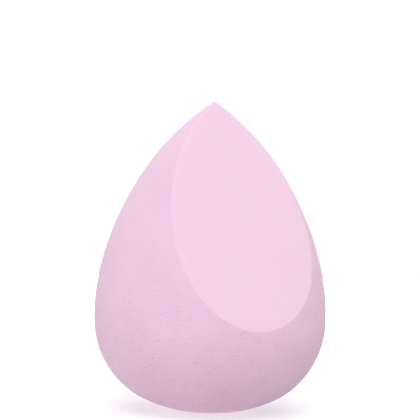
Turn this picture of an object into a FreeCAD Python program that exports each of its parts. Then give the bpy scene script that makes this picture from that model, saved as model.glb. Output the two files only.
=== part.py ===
"""Makeup sponge: one moulded piece of soft foam, a round teardrop with a flat slanted cut on one side.

Frame: millimetres, +Z up along the teardrop's axis, origin at the middle of the flat foot.
The slanted cut faces the front, -Y.
"""

import FreeCAD, Part
import Sketcher
import math
import os

PART_FOLDER = "parts"
BODY_NAME = "sponge_body"

# Each row of the sheet: alias, value (millimetres or degrees), what it is.
SIZES = [
    ("height", 60.0, "from the flat foot to the tip"),
    ("widest_diameter", 44.8, "across the belly"),
    ("widest_height", 17.2, "from the flat foot to the widest level"),
    ("belly_turn", 65.0, "degrees that the belly curves through, from upright to the flatter underside"),
    ("foot_depth", 0.5, "how deep the underside is flattened where the sponge stands"),
    ("soft_edge_radius", 0.4, "rounding of the tip and of the edge around the slanted cut"),
    ("cut_low_height", 18.0, "from the flat foot to where the slanted cut reaches the widest radius"),
    ("cut_tip_clearance", 0.15, "from the rounding of the tip to the plane of the slanted cut"),
    ("cut_overrun", 2.0, "how far the outline of the cut reaches past the foam"),
]

# How a sketch's constraints number the points of an element, and the sketch's own axes and origin.
START_INDEX, END_INDEX, CENTRE_INDEX = 1, 2, 3
H_AXIS_INDEX, V_AXIS_INDEX = -1, -2
ORIGIN = (H_AXIS_INDEX, START_INDEX)
OUT_OF_SKETCH = FreeCAD.Vector(0, 0, 1)
FULL_TURN = 360
MM3_PER_ML = 1000


def make_sheet(doc):
    """The sheet of driving dimensions, one alias a row."""
    sheet = doc.addObject("Spreadsheet::Sheet", "Sizes")
    for row, (alias, value, meaning) in enumerate(SIZES, start=1):
        sheet.set(f"A{row}", alias)
        sheet.set(f"B{row}", str(value))
        sheet.setAlias(f"B{row}", alias)
        sheet.set(f"C{row}", meaning)
    doc.recompute()
    return sheet


def new_sketch(body, name, role):
    """An empty sketch on the body's own origin plane of that role, such as XZ_Plane."""
    plane = next(feature for feature in body.Origin.OriginFeatures if feature.Role == role)
    sketch = body.newObject("Sketcher::SketchObject", name)
    sketch.AttachmentSupport = (plane, [""])
    sketch.MapMode = "FlatFace"
    return sketch


def drive(sketch, name, formula, *constraint):
    """Adds a named dimension to a sketch and binds it to the sheet."""
    index = sketch.addConstraint(Sketcher.Constraint(*constraint))
    sketch.renameConstraint(index, name)
    sketch.setExpression(f"Constraints.{name}", formula)


def flat(x, y):
    """A point of a sketch's plane."""
    return FreeCAD.Vector(x, y, 0)


def arc(centre, start, end):
    """The anticlockwise arc about centre from start to end."""
    circle = Part.Circle(centre, OUT_OF_SKETCH, (start - centre).Length)
    first = math.atan2(start.y - centre.y, start.x - centre.x)
    last = math.atan2(end.y - centre.y, end.x - centre.x)
    return Part.ArcOfCircle(circle, first, last)


def teardrop_sketch(body, sheet):
    """Half of the teardrop's outline, right of the axis: foot, base, belly, flank and tip."""
    widest_radius = sheet.widest_diameter / 2
    widest_point = flat(widest_radius, sheet.widest_height)
    foot_middle = flat(0, 0)
    top = flat(0, sheet.height)

    # The belly arc is upright at the widest point. The base arc under it is centred on the axis.
    turn = math.radians(sheet.belly_turn)
    belly_rise = sheet.widest_height + sheet.foot_depth
    lift_share = (1 - math.sin(turn)) / math.cos(turn)
    belly_radius = (belly_rise - widest_radius * lift_share) / (1 - lift_share)
    base_radius = belly_radius + (widest_radius - belly_radius) / math.cos(turn)
    belly_centre = flat(widest_radius - belly_radius, sheet.widest_height)
    base_centre = flat(0, base_radius - sheet.foot_depth)
    belly_start = belly_centre + flat(math.cos(turn), -math.sin(turn)) * belly_radius
    foot_corner = flat(math.sqrt(base_radius ** 2 - base_centre.y ** 2), 0)

    # The flank arc is upright at the widest point too, and tangent to the rounding of the tip.
    tip_centre = flat(0, sheet.height - sheet.soft_edge_radius)
    flank_rise = tip_centre.y - sheet.widest_height
    flank_radius = ((widest_radius ** 2 + flank_rise ** 2 - sheet.soft_edge_radius ** 2)
                    / (2 * (widest_radius - sheet.soft_edge_radius)))
    flank_centre = flat(widest_radius - flank_radius, sheet.widest_height)
    flank_end = flank_centre + (tip_centre - flank_centre).normalize() * flank_radius

    sketch = new_sketch(body, "TeardropOutline", "XZ_Plane")
    foot = sketch.addGeometry(Part.LineSegment(foot_middle, foot_corner))
    base = sketch.addGeometry(arc(base_centre, foot_corner, belly_start))
    belly = sketch.addGeometry(arc(belly_centre, belly_start, widest_point))
    flank = sketch.addGeometry(arc(flank_centre, widest_point, flank_end))
    tip = sketch.addGeometry(arc(tip_centre, flank_end, top))
    axis = sketch.addGeometry(Part.LineSegment(top, foot_middle))
    low_mark = sketch.addGeometry(Part.Point(flat(0, -sheet.foot_depth)), True)

    sketch.addConstraint([
        Sketcher.Constraint("Coincident", foot, START_INDEX, *ORIGIN),
        Sketcher.Constraint("Coincident", foot, END_INDEX, base, START_INDEX),
        Sketcher.Constraint("Tangent", base, END_INDEX, belly, START_INDEX),
        Sketcher.Constraint("Tangent", belly, END_INDEX, flank, START_INDEX),
        Sketcher.Constraint("Tangent", flank, END_INDEX, tip, START_INDEX),
        Sketcher.Constraint("Coincident", tip, END_INDEX, axis, START_INDEX),
        Sketcher.Constraint("Coincident", axis, END_INDEX, foot, START_INDEX),
        Sketcher.Constraint("Horizontal", foot),
        Sketcher.Constraint("Vertical", axis),
        Sketcher.Constraint("PointOnObject", base, CENTRE_INDEX, V_AXIS_INDEX),
        Sketcher.Constraint("PointOnObject", low_mark, START_INDEX, V_AXIS_INDEX),
        Sketcher.Constraint("PointOnObject", low_mark, START_INDEX, base),
        Sketcher.Constraint("PointOnObject", tip, CENTRE_INDEX, V_AXIS_INDEX),
        Sketcher.Constraint("Horizontal", belly, CENTRE_INDEX, belly, END_INDEX),
    ])
    drive(sketch, "height", "Sizes.height",
          "DistanceY", *ORIGIN, tip, END_INDEX, top.y)
    drive(sketch, "widest_radius", "Sizes.widest_diameter / 2",
          "DistanceX", *ORIGIN, belly, END_INDEX, widest_point.x)
    drive(sketch, "widest_height", "Sizes.widest_height",
          "DistanceY", *ORIGIN, belly, END_INDEX, widest_point.y)
    drive(sketch, "belly_turn", "Sizes.belly_turn",
          "Angle", belly, turn)
    drive(sketch, "foot_depth", "Sizes.foot_depth",
          "DistanceY", low_mark, START_INDEX, *ORIGIN, sheet.foot_depth)
    drive(sketch, "tip_radius", "Sizes.soft_edge_radius",
          "Radius", tip, sheet.soft_edge_radius)
    return sketch


def cut_sketch(body, sheet):
    """The triangle in front of the slanted cut, seen from the side: its long side lies in the cut."""
    tip_centre = flat(0, sheet.height - sheet.soft_edge_radius)
    tip_to_cut = sheet.soft_edge_radius + sheet.cut_tip_clearance
    low_point = flat(-sheet.widest_diameter / 2, sheet.cut_low_height)
    to_tip = tip_centre - low_point
    lean = math.atan2(to_tip.x, to_tip.y) - math.asin(tip_to_cut / to_tip.Length)
    top_level = sheet.height + sheet.cut_overrun
    front_reach = sheet.widest_diameter / 2 + sheet.cut_overrun
    upper = flat(low_point.x + (top_level - low_point.y) * math.tan(lean), top_level)
    lower = flat(-front_reach, low_point.y - sheet.cut_overrun / math.tan(lean))
    corner = flat(-front_reach, top_level)

    sketch = new_sketch(body, "SlantedCutOutline", "YZ_Plane")
    cut = sketch.addGeometry(Part.LineSegment(lower, upper))
    top_side = sketch.addGeometry(Part.LineSegment(upper, corner))
    front_side = sketch.addGeometry(Part.LineSegment(corner, lower))
    tip_mark = sketch.addGeometry(Part.Point(tip_centre), True)
    low_mark = sketch.addGeometry(Part.Point(low_point), True)

    sketch.addConstraint([
        Sketcher.Constraint("Coincident", cut, END_INDEX, top_side, START_INDEX),
        Sketcher.Constraint("Coincident", top_side, END_INDEX, front_side, START_INDEX),
        Sketcher.Constraint("Coincident", front_side, END_INDEX, cut, START_INDEX),
        Sketcher.Constraint("Horizontal", top_side),
        Sketcher.Constraint("Vertical", front_side),
        Sketcher.Constraint("PointOnObject", tip_mark, START_INDEX, V_AXIS_INDEX),
        Sketcher.Constraint("PointOnObject", low_mark, START_INDEX, cut),
    ])
    drive(sketch, "tip_centre_height", "Sizes.height - Sizes.soft_edge_radius",
          "DistanceY", *ORIGIN, tip_mark, START_INDEX, tip_centre.y)
    drive(sketch, "tip_to_cut", "Sizes.soft_edge_radius + Sizes.cut_tip_clearance",
          "Distance", tip_mark, START_INDEX, cut, tip_to_cut)
    drive(sketch, "cut_low_height", "Sizes.cut_low_height",
          "DistanceY", *ORIGIN, low_mark, START_INDEX, low_point.y)
    drive(sketch, "widest_radius", "Sizes.widest_diameter / 2",
          "DistanceX", low_mark, START_INDEX, *ORIGIN, -low_point.x)
    drive(sketch, "top_level", "Sizes.height + Sizes.cut_overrun",
          "DistanceY", *ORIGIN, cut, END_INDEX, top_level)
    drive(sketch, "front_reach", "Sizes.widest_diameter / 2 + Sizes.cut_overrun",
          "DistanceX", cut, START_INDEX, *ORIGIN, front_reach)
    return sketch


def slanted_cut_edges(shape):
    """Names of the edges around the slanted cut, the one flat face that looks up."""
    cut_faces = [face for face in shape.Faces
                 if isinstance(face.Surface, Part.Plane) and face.normalAt(0, 0).z > 0]
    return [f"Edge{number}" for number, edge in enumerate(shape.Edges, start=1)
            if any(edge.isSame(side) for face in cut_faces for side in face.Edges)]


def make_sponge(doc, sheet):
    """The foam piece: a turned teardrop, its slanted cut, and the softened edge around the cut."""
    body = doc.addObject("PartDesign::Body", BODY_NAME)
    body.Label = BODY_NAME

    outline = teardrop_sketch(body, sheet)
    teardrop = body.newObject("PartDesign::Revolution", "Teardrop")
    teardrop.Profile = outline
    teardrop.ReferenceAxis = (outline, ["V_Axis"])
    teardrop.Angle = FULL_TURN
    doc.recompute()

    cut_outline = cut_sketch(body, sheet)
    cut = body.newObject("PartDesign::Pocket", "SlantedCut")
    cut.Profile = cut_outline
    cut.Type = "Length"
    cut.SideType = "Symmetric"
    cut.setExpression("Length", "Sizes.widest_diameter + 2 * Sizes.cut_overrun")
    doc.recompute()
    if not cut.Shape.Volume < teardrop.Shape.Volume:
        raise RuntimeError("the slanted cut removes nothing")

    soft_edge = body.newObject("PartDesign::Fillet", "SoftCutEdge")
    soft_edge.Base = (cut, slanted_cut_edges(cut.Shape))
    soft_edge.setExpression("Radius", "Sizes.soft_edge_radius")
    doc.recompute()
    if not len(soft_edge.Shape.Faces) > len(cut.Shape.Faces):
        raise RuntimeError("the edge of the slanted cut isn't rounded")
    return body


def check(doc, pieces):
    """Stops if any object failed, or a piece has no valid shape."""
    for item in doc.Objects:
        if {"Invalid", "Error"} & set(item.State):
            raise RuntimeError(f"{item.Name} failed: {item.State}")
    for piece in pieces:
        if piece.Shape.isNull() or not piece.Shape.isValid():
            raise RuntimeError(f"{piece.Label} has no valid shape")


def main():
    doc = FreeCAD.newDocument("MakeupSponge")
    sheet = make_sheet(doc)
    pieces = [make_sponge(doc, sheet)]
    doc.recompute()
    check(doc, pieces)
    os.makedirs(PART_FOLDER, exist_ok=True)
    for piece in pieces:
        piece.Shape.exportStep(os.path.join(PART_FOLDER, f"{piece.Label}.step"))
        box = piece.Shape.BoundBox
        print(f"{piece.Label}: {box.XLength:.2f} x {box.YLength:.2f} x {box.ZLength:.2f} mm,"
              f" {piece.Shape.Volume / MM3_PER_ML:.2f} ml, {len(piece.Shape.Solids)} solid")


main()
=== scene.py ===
"""Makeup sponge: the soft foam teardrop that stands for the CAD solid, on a plain pale studio floor."""

import math

import bpy
import numpy as np
from mathutils import Matrix, Vector


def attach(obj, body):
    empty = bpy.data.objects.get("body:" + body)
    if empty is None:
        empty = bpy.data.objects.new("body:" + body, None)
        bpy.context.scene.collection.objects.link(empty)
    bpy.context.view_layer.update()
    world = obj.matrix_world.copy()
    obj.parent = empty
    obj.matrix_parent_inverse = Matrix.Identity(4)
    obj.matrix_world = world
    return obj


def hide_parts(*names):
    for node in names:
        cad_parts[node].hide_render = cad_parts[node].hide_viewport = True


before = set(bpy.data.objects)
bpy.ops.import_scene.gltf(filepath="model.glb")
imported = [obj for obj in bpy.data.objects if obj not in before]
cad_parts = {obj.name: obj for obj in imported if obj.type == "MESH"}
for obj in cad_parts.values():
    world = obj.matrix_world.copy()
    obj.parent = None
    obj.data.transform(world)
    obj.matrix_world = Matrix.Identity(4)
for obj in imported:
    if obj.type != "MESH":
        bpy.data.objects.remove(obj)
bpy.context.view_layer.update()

MM = 0.001
WHITE = (1.0, 1.0, 1.0, 1.0)

# Sizes of the CAD solid, in millimetres and radians. The slanted cut faces -Y, and +Z runs up to the tip.
HEIGHT = 60.0
WIDEST_RADIUS = 22.4
WIDEST_Z = 17.2
BELLY_TURN = math.radians(65.0)
FOOT_DEPTH = 0.5
TIP_RADIUS = 0.4
CUT_LOW_Z = 18.0
CUT_TIP_CLEARANCE = 0.15

# The arcs of the outline that follow from these sizes. Each one meets the next without a corner.
LIFT_SHARE = (1 - math.sin(BELLY_TURN)) / math.cos(BELLY_TURN)
BELLY_RADIUS = (WIDEST_Z + FOOT_DEPTH - WIDEST_RADIUS * LIFT_SHARE) / (1 - LIFT_SHARE)
BELLY_CENTRE = WIDEST_RADIUS - BELLY_RADIUS
BASE_RADIUS = BELLY_RADIUS + BELLY_CENTRE / math.cos(BELLY_TURN)
BASE_CENTRE_Z = BASE_RADIUS - FOOT_DEPTH
TIP_CENTRE_Z = HEIGHT - TIP_RADIUS
FLANK_RISE = TIP_CENTRE_Z - WIDEST_Z
FLANK_RADIUS = ((WIDEST_RADIUS ** 2 + FLANK_RISE ** 2 - TIP_RADIUS ** 2)
                / (2 * (WIDEST_RADIUS - TIP_RADIUS)))
FLANK_CENTRE = WIDEST_RADIUS - FLANK_RADIUS
TIP_ANGLE = math.atan2(FLANK_RISE, -FLANK_CENTRE)

# The plane of the slanted cut: its lean from the axis, its outward normal and its own upward direction.
CUT_TO_TIP_CENTRE = TIP_RADIUS + CUT_TIP_CLEARANCE
CUT_RISE = TIP_CENTRE_Z - CUT_LOW_Z
CUT_LEAN = (math.atan2(WIDEST_RADIUS, CUT_RISE)
            - math.asin(CUT_TO_TIP_CENTRE / math.hypot(WIDEST_RADIUS, CUT_RISE)))
CUT_NORMAL = np.array([0.0, -math.cos(CUT_LEAN), math.sin(CUT_LEAN)])
CUT_UP = np.array([0.0, math.sin(CUT_LEAN), math.cos(CUT_LEAN)])
CUT_ACROSS = np.array([1.0, 0.0, 0.0])
CUT_OFFSET = float(CUT_NORMAL @ np.array([0.0, -WIDEST_RADIUS, CUT_LOW_Z]))

# A point near the middle of the cut, and the heart behind it, from which rays go out to the whole surface.
CUT_MIDDLE_Z = 37.1
CUT_MIDDLE_Y = (CUT_OFFSET - CUT_NORMAL[2] * CUT_MIDDLE_Z) / CUT_NORMAL[1]
CUT_MIDDLE = np.array([0.0, CUT_MIDDLE_Y, CUT_MIDDLE_Z])
HEART_DEPTH = 15.0
HEART = CUT_MIDDLE - HEART_DEPTH * CUT_NORMAL

# How the foam rounds off, in millimetres. The cut drops by EDGE_DROP over the last EDGE_WIDTH before its
# edge, and the foot's edge is round.
EDGE_WIDTH = 2.4
EDGE_DROP = 0.2
FOOT_SOFTNESS = 0.45

# How the moulded foam departs from the outline: level, depth outward and spread of each swell or dip.
SWELLS = [(40.0, -0.15, 7.0), (22.7, 0.17, 6.0), (8.5, -0.11, 5.0)]

# Where the look of the cut starts behind its plane and how far it takes to fade in, and how far in from
# the edge the painted highlight along the cut's rim fades out, in millimetres.
CUT_LOOK_DEPTH, CUT_LOOK_FADE = 0.45, 0.33
RIM_HIGHLIGHT_WIDTH = 1.6


def soft_corner(first, second, first_reach, second_reach):
    """Distance from the corner of two surfaces, rounded off as a quarter of an ellipse."""
    over_first = np.maximum(first / first_reach + 1, 0)
    over_second = np.maximum(second / second_reach + 1, 0)
    both = (over_first > 0) & (over_second > 0)
    rounded = (np.hypot(over_first, over_second) - 1) * min(first_reach, second_reach)
    return np.where(both, rounded, np.maximum(first, second))


def round_distance(points):
    """Distance from the uncut teardrop, positive outside."""
    rho = np.hypot(points[..., 0], points[..., 1])
    z = points[..., 2]
    tip = np.hypot(rho, z - TIP_CENTRE_Z) - TIP_RADIUS
    flank = np.hypot(rho - FLANK_CENTRE, z - WIDEST_Z) - FLANK_RADIUS
    belly = np.hypot(rho - BELLY_CENTRE, z - WIDEST_Z) - BELLY_RADIUS
    base = np.hypot(rho, z - BASE_CENTRE_Z) - BASE_RADIUS
    above = np.where(np.arctan2(z - TIP_CENTRE_Z, rho) >= TIP_ANGLE, tip, flank)
    at_base = math.cos(BELLY_TURN) * (z - BASE_CENTRE_Z) + math.sin(BELLY_TURN) * rho < 0
    swell = sum(depth * np.exp(-((z - level) / spread) ** 2) for level, depth, spread in SWELLS)
    return np.where(z >= WIDEST_Z, above, np.where(at_base, base, belly)) - swell


def cut_distance(points):
    """Distance in front of the slanted cut."""
    return points @ CUT_NORMAL - CUT_OFFSET


def sponge_distance(points):
    """Positive outside the sponge, zero on its surface."""
    cut_round = soft_corner(round_distance(points), cut_distance(points), EDGE_WIDTH, EDGE_DROP)
    return soft_corner(cut_round, -points[..., 2], FOOT_SOFTNESS, FOOT_SOFTNESS)


# The net of the mesh. On both sides of the cut's edge, rows follow the edge inward to a rounded square patch
# of SIDE by SIDE quads. The patch's size is a share of the way from the half's middle to the edge.
SIDE = 88
COLUMNS = 4 * SIDE
CUT_ROWS, CUT_PATCH_SHARE = 26, 0.55
ROUND_ROWS, ROUND_PATCH_SHARE = 106, 0.30
PATCH_POWER = 3

# When rows are spaced, a turn of one radian counts as this many millimetres of way.
TURN_LENGTH = 2.0

# How finely the surface is sampled: halvings along a ray, points along the cut's edge, and for each half the
# points down a column and the steps of its table.
HALVINGS = 44
EDGE_SAMPLES = 7201
CUT_SAMPLES, CUT_STEPS = 241, 321
ROUND_SAMPLES, ROUND_STEPS = 601, 801

# Lengths of rays, in millimetres: from the cut's middle past its edge, and from the heart past the surface.
EDGE_REACH, HEART_REACH = 45.0, 60.0

# Guards against a division by zero, and against a column rounded up to the number of columns.
SHORTEST_HOP = 1e-12
COLUMN_MARGIN = 1e-9


def out_to(distance, start, directions, reach):
    """Points along directions from start where distance stops being negative."""
    near = np.zeros(directions.shape[:-1])
    far = np.full(directions.shape[:-1], reach)
    for _ in range(HALVINGS):
        middle = (near + far) / 2
        within = distance(start + middle[..., None] * directions) < 0
        near = np.where(within, middle, near)
        far = np.where(within, far, middle)
    return start + ((near + far) / 2)[..., None] * directions


def in_cut(psi):
    """Directions in the plane of the cut, psi round from its sideways direction."""
    return np.cos(psi)[..., None] * CUT_ACROSS + np.sin(psi)[..., None] * CUT_UP


def on_sponge(psi, alpha):
    """Points of the surface, looked for from the heart: alpha away from the cut's normal, psi round it."""
    rays = np.cos(alpha)[..., None] * CUT_NORMAL + np.sin(alpha)[..., None] * in_cut(psi)
    return out_to(sponge_distance, HEART, rays, HEART_REACH)


def edge_columns():
    """Angles psi of the columns, evenly spaced along the cut's edge, and the edge's angles alpha."""
    fine = np.linspace(-math.pi, math.pi, EDGE_SAMPLES)
    edge = out_to(round_distance, CUT_MIDDLE, in_cut(fine), EDGE_REACH)
    along = np.concatenate([[0], np.cumsum(np.linalg.norm(np.diff(edge, axis=0), axis=1))])
    psi = np.interp(np.arange(COLUMNS + 1) / COLUMNS * along[-1], along, fine)
    reach = np.linalg.norm(edge - CUT_MIDDLE, axis=1)
    return psi, np.arctan2(np.interp(psi, fine, reach), HEART_DEPTH)


def even_rows(psi, first, last, samples, steps):
    """A table of alpha: for each column, even steps from first to last, closer where the surface turns."""
    alpha = first[:, None] + (last - first)[:, None] * np.linspace(0, 1, samples)
    hop = np.diff(on_sponge(np.broadcast_to(psi[:, None], alpha.shape), alpha), axis=1)
    length = np.linalg.norm(hop, axis=2)
    unit = hop / np.maximum(length, SHORTEST_HOP)[..., None]
    turn = np.arccos(np.clip((unit[:, 1:] * unit[:, :-1]).sum(2), -1, 1))
    way = length.copy()
    way[:, 1:] += TURN_LENGTH * turn / 2
    way[:, :-1] += TURN_LENGTH * turn / 2
    gone = np.concatenate([np.zeros((len(psi), 1)), np.cumsum(way, axis=1)], axis=1)
    gone /= gone[:, -1:]
    grid = np.linspace(0, 1, steps)
    return np.array([np.interp(grid, gone[column], alpha[column]) for column in range(len(psi))])


def patch_sides():
    """Columns that end on the patch's low, right, high and left side. Two run rightward and two upward."""
    low_right = -(SIDE // 2)
    low_left = low_right - SIDE
    high_left = low_right + 2 * SIDE
    run = np.arange(SIDE + 1)
    low = (low_left + run) % COLUMNS
    right = (low_right + run) % COLUMNS
    high = (high_left - run) % COLUMNS
    left = (low_left - run) % COLUMNS
    return low, right, high, left


def patch_plan(size_share):
    """The patch as a rounded square in a unit circle: its radius at each column, and a grid of its points."""
    theta = 2 * math.pi * np.arange(COLUMNS) / COLUMNS
    powers = np.abs(np.cos(theta)) ** PATCH_POWER + np.abs(np.sin(theta)) ** PATCH_POWER
    radius = size_share / powers ** (1 / PATCH_POWER)
    outline = np.stack([radius * np.cos(theta), radius * np.sin(theta)], 1)
    low, right, high, left = (outline[columns] for columns in patch_sides())
    share = np.arange(SIDE + 1) / SIDE
    u = share[:, None, None]
    v = share[None, :, None]
    sides = (1 - v) * low[:, None] + v * high[:, None] + (1 - u) * left[None] + u * right[None]
    low_corners = (1 - u) * (1 - v) * low[0] + u * (1 - v) * low[-1]
    high_corners = (1 - u) * v * high[0] + u * v * high[-1]
    return radius, sides - low_corners - high_corners


def look_up(psi, table, column, share):
    """Angles psi and alpha at places in a table, also between two columns. The share runs from 0 to 1."""
    column = np.minimum(column % COLUMNS, COLUMNS - COLUMN_MARGIN)
    here = np.floor(column).astype(int)
    after = (here + 1) % COLUMNS
    last = table.shape[1] - 1
    step = np.clip(share, 0, 1) * last
    low = np.minimum(np.floor(step).astype(int), last - 1)
    over = step - low
    at_here = (1 - over) * table[here, low] + over * table[here, low + 1]
    at_after = (1 - over) * table[after, low] + over * table[after, low + 1]
    past = column - here
    return np.interp(column, np.arange(COLUMNS + 1), psi), (1 - past) * at_here + past * at_after


def half_net(psi, table, rows, size_share):
    """Angles of one half's points: rows inward from the cut's edge, then the patch's inner points."""
    radius, plan = patch_plan(size_share)
    columns = np.broadcast_to(np.arange(COLUMNS, dtype=float), (rows, COLUMNS))
    share = 1 - (1 - radius) * (np.arange(1, rows + 1) / rows)[:, None]
    row_psi, row_alpha = look_up(psi, table, columns, share)
    across, up = plan[1:-1, 1:-1].reshape(-1, 2).T
    turn = np.arctan2(up, across) / (2 * math.pi)
    patch_psi, patch_alpha = look_up(psi, table, turn * COLUMNS, np.hypot(across, up))
    half_psi = np.concatenate([row_psi.ravel(), patch_psi])
    return half_psi, np.concatenate([row_alpha.ravel(), patch_alpha])


def quads_of(*corners):
    """Quads from four arrays that hold the numbers of their corners."""
    return np.stack(corners, -1).reshape(-1, len(corners))


def half_faces(first, rows, flip):
    """Quads of one half: its rows, then its patch. Its points are numbered from first, the edge's from 0."""
    edge = np.arange(COLUMNS)[None]
    ring = np.concatenate([edge, first + np.arange(rows * COLUMNS).reshape(rows, COLUMNS)])
    after = np.roll(ring, -1, axis=1)
    low, right, high, left = (ring[-1][columns] for columns in patch_sides())
    grid = np.zeros((SIDE + 1, SIDE + 1), int)
    grid[:, 0] = low
    grid[-1, :] = right
    grid[:, -1] = high
    grid[0, :] = left
    inner = np.arange((SIDE - 1) ** 2).reshape(SIDE - 1, SIDE - 1)
    grid[1:-1, 1:-1] = first + rows * COLUMNS + inner
    row_quads = quads_of(ring[:-1], after[:-1], after[1:], ring[1:])
    patch_quads = quads_of(grid[:-1, :-1], grid[1:, :-1], grid[1:, 1:], grid[:-1, 1:])
    quads = np.concatenate([row_quads, patch_quads])
    return quads[:, ::-1] if flip else quads


def sponge_net():
    """Points, in millimetres, and quads of the sponge: the cut's edge, then the cut, then the round side."""
    psi, edge_alpha = edge_columns()
    open_psi, open_alpha = psi[:-1], edge_alpha[:-1]
    cut_table = even_rows(open_psi, np.zeros(COLUMNS), open_alpha, CUT_SAMPLES, CUT_STEPS)
    round_table = even_rows(open_psi, np.full(COLUMNS, math.pi), open_alpha, ROUND_SAMPLES, ROUND_STEPS)
    cut_psi, cut_alpha = half_net(psi, cut_table, CUT_ROWS, CUT_PATCH_SHARE)
    round_psi, round_alpha = half_net(psi, round_table, ROUND_ROWS, ROUND_PATCH_SHARE)
    all_psi = np.concatenate([open_psi, cut_psi, round_psi])
    all_alpha = np.concatenate([open_alpha, cut_alpha, round_alpha])
    cut_quads = half_faces(COLUMNS, CUT_ROWS, False)
    round_quads = half_faces(COLUMNS + len(cut_psi), ROUND_ROWS, True)
    return on_sponge(all_psi, all_alpha), np.concatenate([cut_quads, round_quads])


def smooth_step(share):
    """A share, held between 0 and 1, with soft ends."""
    held = np.clip(share, 0, 1)
    return held * held * (3 - 2 * held)


def make_sponge():
    """The sponge, whose mesh also says how far each point belongs to the cut and to the painted highlight
    along its rim.
    """
    points, quads = sponge_net()
    mesh = bpy.data.meshes.new("foam_sponge")
    mesh.from_pydata((points * MM).tolist(), [], quads.tolist())
    mesh.update()
    mesh.shade_smooth()
    on_cut = smooth_step((cut_distance(points) + CUT_LOOK_DEPTH) / CUT_LOOK_FADE)
    # A painted highlight: how far a point takes the paler colour along the cut's rounded edge, where light
    # catches it.
    rim_highlight = on_cut * np.exp(np.minimum(round_distance(points), 0) / RIM_HIGHLIGHT_WIDTH)
    for name, share in (("cut_face", on_cut), ("cut_rim_highlight", rim_highlight)):
        mesh.attributes.new(name, "FLOAT", "POINT").data.foreach_set("value", share.astype(np.float32))
    piece = bpy.data.objects.new("foam_sponge", mesh)
    bpy.context.scene.collection.objects.link(piece)
    return piece


# Sockets of a Mix node that mixes colours: the share, the two colours and the result.
MIX_SHARE, MIX_FIRST, MIX_SECOND, MIX_RESULT = 0, 6, 7, 2

# Share of a pit's radius that is at full depth.
PIT_FLOOR_SHARE = 0.45


class Nodes:
    """Adds nodes to a tree and links them."""

    def __init__(self, tree):
        self.tree = tree

    def add(self, kind, settings=None, **inputs):
        """A new node with settings and inputs by name. An input's name has a low line for each space."""
        node = self.tree.nodes.new(kind)
        for name, value in (settings or {}).items():
            setattr(node, name, value)
        for name, value in inputs.items():
            self.put(node, name.replace("_", " "), value)
        return node

    def put(self, node, socket, value):
        """Links an output to an input, or sets the input to a plain value."""
        target = node.inputs[socket]
        if isinstance(value, bpy.types.NodeSocket):
            self.tree.links.new(value, target)
        else:
            target.default_value = value

    def calc(self, operation, first, second):
        """The result of a Math node."""
        node = self.add("ShaderNodeMath", {"operation": operation})
        self.put(node, 0, first)
        self.put(node, 1, second)
        return node.outputs[0]

    def vector(self, operation, first, second, result="Vector"):
        """The result of a Vector Math node."""
        node = self.add("ShaderNodeVectorMath", {"operation": operation})
        self.put(node, 0, first)
        self.put(node, 1, second)
        return node.outputs[result]

    def ramp(self, value, low, high, to_low=0.0, to_high=1.0):
        """A smooth step of value between low and high."""
        node = self.add("ShaderNodeMapRange", {"interpolation_type": "SMOOTHSTEP"}, Value=value,
                        From_Min=low, From_Max=high, To_Min=to_low, To_Max=to_high)
        return node.outputs["Result"]

    def blend(self, share, first, second):
        """A mix of two colours."""
        node = self.add("ShaderNodeMix", {"data_type": "RGBA"})
        for socket, value in ((MIX_SHARE, share), (MIX_FIRST, first), (MIX_SECOND, second)):
            self.put(node, socket, value)
        return node.outputs[MIX_RESULT]

    def noise(self, where, scale, detail, roughness):
        """Smooth noise between 0 and 1."""
        node = self.add("ShaderNodeTexNoise", {"noise_dimensions": "3D"},
                        Vector=where, Scale=scale, Detail=detail, Roughness=roughness)
        return node.outputs[0]

    def pores(self, where, per_mm, smallest_share, largest_share):
        """Round pits of mixed sizes: 1 in a pit and 0 between. The shares are of the pits' spacing."""
        cells = self.add("ShaderNodeTexVoronoi", {"voronoi_dimensions": "3D", "feature": "F1"},
                         Vector=where, Scale=per_mm, Randomness=1.0)
        chance = self.add("ShaderNodeSeparateColor", Color=cells.outputs["Color"]).outputs["Red"]
        radius = self.ramp(chance, 0.0, 1.0, smallest_share, largest_share)
        return self.ramp(self.calc("DIVIDE", cells.outputs["Distance"], radius), 1.0, PIT_FLOOR_SHARE)

    def seen(self):
        """1 for what is seen, also in a shine or through glass, and 0 for light that falls on the sponge."""
        path = self.add("ShaderNodeLightPath").outputs
        direct = self.calc("MAXIMUM", path["Is Camera Ray"], path["Is Glossy Ray"])
        return self.calc("MAXIMUM", direct, path["Is Transmission Ray"])


# Colours of the foam: its skin and the two ends of the skin's mottling, and the cut. Then painted light: a
# painted highlight along the cut's rim, painted shade in a pit and a painted highlight on the lip below a
# pit.
FOAM_PINK = (0.862, 0.614, 0.778, 1.0)
FOAM_PALE = (0.882, 0.646, 0.803, 1.0)
FOAM_DEEP = (0.838, 0.580, 0.750, 1.0)
CUT_PINK = (0.884, 0.658, 0.812, 1.0)
RIM_HIGHLIGHT_PINK = (0.930, 0.700, 0.860, 1.0)
PORE_SHADE_PINK = (0.62, 0.37, 0.50, 1.0)
LIP_HIGHLIGHT_PINK = (0.99, 0.81, 0.93, 1.0)

# How much of the skin's colour, the rim's painted highlight, the pits' painted shade and the painted
# highlight on each lip is laid over what is there before.
PLAIN_SHARE = 0.6
RIM_HIGHLIGHT_SHARE = 0.18
FINE_SHADE_SHARE = 0.08
LIP_HIGHLIGHT_SHARE = 0.9
PINHOLE_SHADE_SHARE = 0.26

# The pits: how many stand along a millimetre, and their smallest and largest radius as shares of the spacing.
PINHOLES = {"per_mm": 1.9, "smallest_share": 0.07, "largest_share": 0.33}
FINE_PORES = {"per_mm": 2.2, "smallest_share": 0.08, "largest_share": 0.30}
FINE_ON_CUT_SHARE = 0.55

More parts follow.
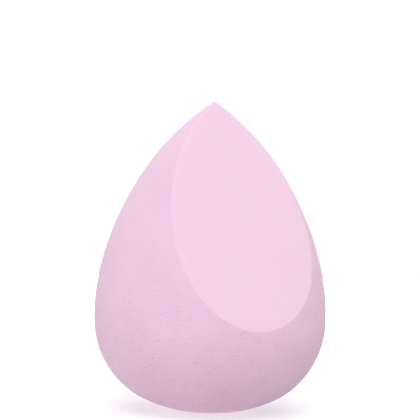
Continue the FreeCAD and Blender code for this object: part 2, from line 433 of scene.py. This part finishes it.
# Pinholes are open below one level and mostly closed above another. A painted highlight lies a little below
# each pinhole, on the lip that would catch the light.
OPEN_BELOW, CLOSED_ABOVE = 20.0, 32.0
CLOSED_SHARE = 0.25
LIP_HIGHLIGHT_DROP = 0.20

# Noise for the grain and for the mottling, and the range over which the mottling changes.
GRAIN = {"scale": 3.2, "detail": 3.0, "roughness": 0.6}
CLOUDS = {"scale": 0.11, "detail": 2.0, "roughness": 0.5}
CLOUD_LOW, CLOUD_HIGH = 0.3, 0.7

# Relief, in millimetres.
GRAIN_HEIGHT = 0.03
FINE_DEPTH = 0.045
PINHOLE_DEPTH = 0.09

# A matte finish, with a little light that soaks in and comes out again close by.
FOAM_FINISH = {
    "Roughness": 0.9,
    "Diffuse Roughness": 0.5,
    "Specular IOR Level": 0.2,
    "Subsurface Weight": 0.2,
    "Subsurface Radius": (1.0, 0.55, 0.75),
    "Subsurface Scale": 1.5 * MM,
}


def foam_material():
    """Matte foam: pinholes in the moulded skin, with painted shade in them and a painted highlight on the lip
    below each, finer pores with painted shade all over, and a faint mottling.
    """
    material = bpy.data.materials.new("foam")
    material.use_nodes = True
    shader = material.node_tree.nodes["Principled BSDF"]
    n = Nodes(material.node_tree)
    place = n.add("ShaderNodeTexCoord").outputs["Object"]
    in_mm = n.add("ShaderNodeVectorMath", {"operation": "SCALE"}, Vector=place, Scale=1 / MM)
    where = in_mm.outputs["Vector"]
    on_cut = n.add("ShaderNodeAttribute", {"attribute_name": "cut_face"}).outputs["Fac"]
    # Where the painted highlight along the cut's rim lies.
    rim_highlight = n.add("ShaderNodeAttribute", {"attribute_name": "cut_rim_highlight"}).outputs["Fac"]
    on_skin = n.calc("SUBTRACT", 1.0, on_cut)

    level = n.add("ShaderNodeSeparateXYZ", Vector=where).outputs["Z"]
    openness = n.calc("MULTIPLY", on_skin, n.ramp(level, CLOSED_ABOVE, OPEN_BELOW, CLOSED_SHARE, 1.0))
    # The pits' masks set their relief and their painted shade. The same pits, shifted down a little, set the
    # painted highlight below each pinhole.
    above = n.vector("ADD", where, (0.0, 0.0, LIP_HIGHLIGHT_DROP))
    pinholes = n.calc("MULTIPLY", n.pores(where, **PINHOLES), openness)
    lip_highlights = n.calc("MULTIPLY", n.pores(above, **PINHOLES), openness)
    fine_strength = n.ramp(on_cut, 0.0, 1.0, 1.0, FINE_ON_CUT_SHARE)
    fine = n.calc("MULTIPLY", n.pores(where, **FINE_PORES), fine_strength)

    clouds = n.noise(where, **CLOUDS)
    colour = n.blend(n.ramp(clouds, CLOUD_LOW, CLOUD_HIGH), FOAM_DEEP, FOAM_PALE)
    colour = n.blend(PLAIN_SHARE, colour, FOAM_PINK)
    colour = n.blend(on_cut, colour, CUT_PINK)
    # Painted light laid over the foam's colour: a painted highlight along the cut's rim, painted shade in the
    # fine pores, a painted highlight on the lip below each pinhole, and painted shade in the pinholes.
    layers = [(rim_highlight, RIM_HIGHLIGHT_SHARE, RIM_HIGHLIGHT_PINK), (fine, FINE_SHADE_SHARE, PORE_SHADE_PINK),
              (lip_highlights, LIP_HIGHLIGHT_SHARE, LIP_HIGHLIGHT_PINK), (pinholes, PINHOLE_SHADE_SHARE, PORE_SHADE_PINK)]
    for mask, share, pink in layers:
        colour = n.blend(n.calc("MULTIPLY", mask, share), colour, pink)

    height = n.calc("MULTIPLY", n.noise(where, **GRAIN), GRAIN_HEIGHT)
    for pits, depth in ((fine, FINE_DEPTH), (pinholes, PINHOLE_DEPTH)):
        height = n.calc("SUBTRACT", height, n.calc("MULTIPLY", pits, depth))
    relief = n.add("ShaderNodeBump", Height=height, Distance=MM, Strength=1.0)

    n.put(shader, "Base Color", colour)
    n.put(shader, "Normal", relief.outputs["Normal"])
    for socket, value in FOAM_FINISH.items():
        shader.inputs[socket].default_value = value
    return material


# The floor: a matte sheet with a steady glow. Lengths are in metres.
FLOOR_RADIUS = 0.4
FLOOR_SIDES = 96
FLOOR_GREY = (0.62, 0.62, 0.62, 1.0)
FLOOR_GLOW = 0.13

# Glow that lights the sponge but isn't seen. By SIDE_CHANGE it is less on the dim side and more on the
# other, and there is more of it close under the sponge.
DIM_SIDE = (1.0, 0.0, 0.0)
SIDE_REACH, SIDE_CHANGE = 0.045, 0.13
UNDER_START, UNDER_END, UNDER_GLOW = 0.008, 0.018, 0.30

# Glow that is seen but lights nothing. From the sponge outward it lifts the floor to white.
LIFT_START, LIFT_END = 0.05, 0.2
LIFT_NEAR, LIFT_FAR = 0.36, 1.0


def floor_material():
    """A matte pale grey that glows, in one way for the camera and in another for the sponge."""
    material = bpy.data.materials.new("floor")
    material.use_nodes = True
    material.node_tree.nodes.clear()
    n = Nodes(material.node_tree)
    place = n.add("ShaderNodeTexCoord").outputs["Object"]
    away = n.add("ShaderNodeVectorMath", {"operation": "LENGTH"}, Vector=place).outputs["Value"]
    seen = n.seen()
    lift = n.calc("MULTIPLY", n.ramp(away, LIFT_START, LIFT_END, LIFT_NEAR, LIFT_FAR), seen)
    to_side = n.vector("DOT_PRODUCT", place, DIM_SIDE, "Value")
    bounce = n.ramp(to_side, -SIDE_REACH, SIDE_REACH, SIDE_CHANGE, -SIDE_CHANGE)
    bounce = n.calc("ADD", bounce, n.ramp(away, UNDER_START, UNDER_END, UNDER_GLOW, 0.0))
    bounce = n.calc("MULTIPLY", bounce, n.calc("SUBTRACT", 1.0, seen))
    strength = n.calc("ADD", n.calc("ADD", lift, bounce), FLOOR_GLOW)
    matte = n.add("ShaderNodeBsdfDiffuse", Color=FLOOR_GREY)
    glow = n.add("ShaderNodeEmission", Color=WHITE, Strength=strength)
    both = n.add("ShaderNodeAddShader")
    n.put(both, 0, matte.outputs[0])
    n.put(both, 1, glow.outputs[0])
    n.add("ShaderNodeOutputMaterial", Surface=both.outputs[0])
    return material


def make_floor():
    """A round pale sheet under the sponge, which fades into the white of the studio."""
    ring = [(FLOOR_RADIUS * math.cos(a), FLOOR_RADIUS * math.sin(a), 0.0)
            for a in np.linspace(0, 2 * math.pi, FLOOR_SIDES, endpoint=False)]
    mesh = bpy.data.meshes.new("floor")
    mesh.from_pydata(ring, [], [list(range(len(ring)))])
    mesh.materials.append(floor_material())
    sheet = bpy.data.objects.new("floor", mesh)
    bpy.context.scene.collection.objects.link(sheet)
    return sheet


# The soft light of the studio: its level, and how it grows along each axis.
STUDIO_LEVEL = 0.55
STUDIO_SLOPE = (-0.075, -0.03, 0.0)


def make_world():
    """White for the camera. For everything else, a soft light that changes gently with its direction."""
    world = bpy.data.worlds.new("studio")
    bpy.context.scene.world = world
    world.use_nodes = True
    world.node_tree.nodes.clear()
    n = Nodes(world.node_tree)
    direction = n.add("ShaderNodeTexCoord").outputs["Generated"]
    level = n.calc("ADD", n.vector("DOT_PRODUCT", direction, STUDIO_SLOPE, "Value"), STUDIO_LEVEL)
    soft = n.add("ShaderNodeBackground", Color=WHITE, Strength=level)
    white = n.add("ShaderNodeBackground", Color=WHITE, Strength=1.0)
    pick = n.add("ShaderNodeMixShader")
    n.put(pick, 0, n.seen())
    n.put(pick, 1, soft.outputs[0])
    n.put(pick, 2, white.outputs[0])
    n.add("ShaderNodeOutputWorld", Surface=pick.outputs[0])


# Each lamp: name, place and width in metres, and power in watts. All aim at the middle of the sponge.
LAMPS = [
    ("key_lamp", (-0.15, -0.385, 0.59), 0.6, 2.65),
    ("back_lamp", (0.25, 0.45, 0.42), 0.6, 1.6),
]


def make_lamp(name, place, aim, width, power):
    """A round soft lamp at a place, turned to its aim."""
    data = bpy.data.lights.new(name, "AREA")
    data.shape = "DISK"
    data.size = width
    data.energy = power
    lamp = bpy.data.objects.new(name, data)
    bpy.context.scene.collection.objects.link(lamp)
    lamp.location = place
    lamp.rotation_mode = "QUATERNION"
    lamp.rotation_quaternion = (Vector(aim) - Vector(place)).to_track_quat("-Z", "Y")


# The camera: how far it is from the middle of the sponge, in millimetres, and how it is turned, raised and
# rolled. Then, in pixels, the side of the picture, the focal length, and where the sponge's middle lands.
CAMERA_DISTANCE = 300.0
CAMERA_TURN = math.radians(25.3)
CAMERA_RISE = math.radians(3.0)
CAMERA_ROLL = math.radians(1.27)
PICTURE_SIDE = 420.0
FOCAL_PIXELS = 1540.7
MIDDLE_PIXEL = (211.3, 255.75)

# The camera's sensor, in millimetres, and the range that it sees, in metres.
SENSOR_WIDTH = 36.0
CLIP_START, CLIP_END = 0.01, 50.0


def make_camera():
    """The photograph's view. It aims a little off the sponge's middle, which then lands on its pixel."""
    forward = Vector((math.cos(CAMERA_RISE) * math.sin(CAMERA_TURN),
                      math.cos(CAMERA_RISE) * math.cos(CAMERA_TURN), -math.sin(CAMERA_RISE)))
    level_right = Vector((math.cos(CAMERA_TURN), -math.sin(CAMERA_TURN), 0))
    level_up = level_right.cross(forward)
    right = math.cos(CAMERA_ROLL) * level_right + math.sin(CAMERA_ROLL) * level_up
    up = math.cos(CAMERA_ROLL) * level_up - math.sin(CAMERA_ROLL) * level_right
    place = Vector((0, 0, HEIGHT / 2)) - CAMERA_DISTANCE * forward
    aim = (forward + (PICTURE_SIDE / 2 - MIDDLE_PIXEL[0]) / FOCAL_PIXELS * right
           + (MIDDLE_PIXEL[1] - PICTURE_SIDE / 2) / FOCAL_PIXELS * up).normalized()
    right = (right - right.dot(aim) * aim).normalized()
    up = right.cross(aim)
    data = bpy.data.cameras.new("camera")
    data.sensor_width = SENSOR_WIDTH
    data.lens = FOCAL_PIXELS * SENSOR_WIDTH / PICTURE_SIDE
    data.clip_start, data.clip_end = CLIP_START, CLIP_END
    camera = bpy.data.objects.new("camera", data)
    bpy.context.scene.collection.objects.link(camera)
    turn = Matrix((right, up, -aim)).transposed()
    camera.matrix_world = Matrix.Translation(place * MM) @ turn.to_4x4()
    bpy.context.scene.camera = camera


sponge = make_sponge()
sponge.data.materials.append(foam_material())
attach(sponge, "root")
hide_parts("sponge_body")

floor = make_floor()
make_world()
for name, place, width, power in LAMPS:
    make_lamp(name, place, (0, 0, HEIGHT / 2 * MM), width, power)
make_camera()
bpy.context.scene.view_settings.view_transform = "Standard"
